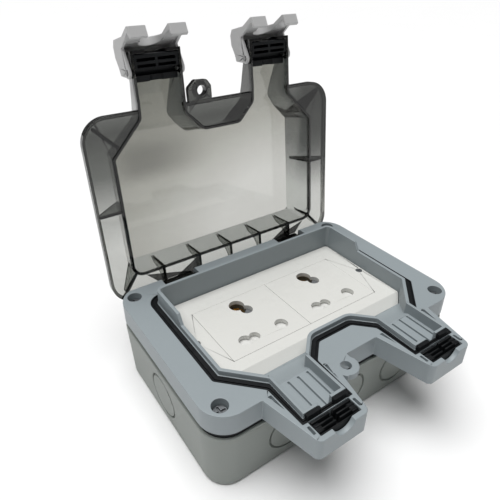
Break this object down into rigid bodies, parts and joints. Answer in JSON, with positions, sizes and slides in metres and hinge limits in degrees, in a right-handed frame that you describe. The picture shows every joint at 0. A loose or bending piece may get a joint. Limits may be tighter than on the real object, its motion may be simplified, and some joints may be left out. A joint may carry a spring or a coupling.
{
  "type": "weatherproof double socket",
  "caption": "Wall box with a hinged clear lid, two snap latches, sealed cable spouts and a pair of shuttered round-pin sockets.",
  "frame": {"origin": "centre of the box's back face, which lies on the wall", "axes": "+Z out of the wall, +X along the lid hinge, +Y towards the hinge"},
  "size_m": [0.1746, 0.185, 0.2019],
  "materials": {
    "shell_grey": "fine satin moulded ABS",
    "frame_grey": "fine satin moulded ABS",
    "black_rubber": "smooth soft rubber",
    "white_plastic": "semi-gloss polycarbonate",
    "shutter_white": "satin",
    "housing_grey": "moulded thermoset",
    "smoke_clear": "transparent smoke polycarbonate",
    "latch_grey": "satin moulded nylon",
    "brass": "plain stamped brass",
    "zinc_steel": "zinc plated",
    "stainless": "bright drawn",
    "spring_steel": "drawn wire"
  },
  "bodies": {
    "enclosure": {"back_box": "shell_grey", "box_gasket": "black_rubber", "front_frame": "frame_grey", "frame_screws": "zinc_steel", "threaded_inserts": "brass", "lid_seal": "black_rubber", "hinge_pins": "stainless", "face_plate": "white_plastic", "plate_screws": "zinc_steel", "frame_cable_seal_left": "black_rubber", "socket_front_left": "white_plastic", "socket_body_left": "housing_grey", "line_contact_left": "brass", "neutral_contact_left": "brass", "earth_contact_left": "brass", "terminal_screws_left": "zinc_steel", "module_screws_left": "zinc_steel", "shutter_spring_left": "spring_steel", "frame_cable_seal_right": "black_rubber", "socket_front_right": "white_plastic", "socket_body_right": "housing_grey", "line_contact_right": "brass", "neutral_contact_right": "brass", "earth_contact_right": "brass", "terminal_screws_right": "zinc_steel", "module_screws_right": "zinc_steel", "shutter_spring_right": "spring_steel"},
    "lid": {"lid": "smoke_clear", "lid_cable_seal_left": "black_rubber", "lid_cable_seal_right": "black_rubber", "latch_pins_left": "stainless", "latch_pins_right": "stainless"},
    "latch_left": {"latch_left": "latch_grey"},
    "shutter_left": {"shutter_left": "shutter_white"},
    "latch_right": {"latch_right": "latch_grey"},
    "shutter_right": {"shutter_right": "shutter_white"}
  },
  "joints": [
    {"name": "lid_hinge", "type": "hinge", "parent": "enclosure", "child": "lid", "pos_m": [0, 0.0535, 0.0481], "axis": [1, 0, 0], "range_deg": [0, 96]},
    {"name": "latch_left_pivot", "type": "hinge", "parent": "lid", "child": "latch_left", "pos_m": [-0.03835, 0.07769, 0.17778], "axis": [1, 0, 0], "range_deg": [-40, 28]},
    {"name": "latch_right_pivot", "type": "hinge", "parent": "lid", "child": "latch_right", "pos_m": [0.03835, 0.07769, 0.17778], "axis": [1, 0, 0], "range_deg": [-40, 28]},
    {"name": "shutter_left_slide", "type": "slide", "parent": "enclosure", "child": "shutter_left", "axis": [0, 1, 0], "range_m": [0, 0.0096], "stiffness_N_per_m": 40, "springref_m": -0.004, "deforming": ["shutter_spring_left"]},
    {"name": "shutter_right_slide", "type": "slide", "parent": "enclosure", "child": "shutter_right", "axis": [0, 1, 0], "range_m": [0, 0.0096], "stiffness_N_per_m": 40, "springref_m": -0.004, "deforming": ["shutter_spring_right"]}
  ]
}
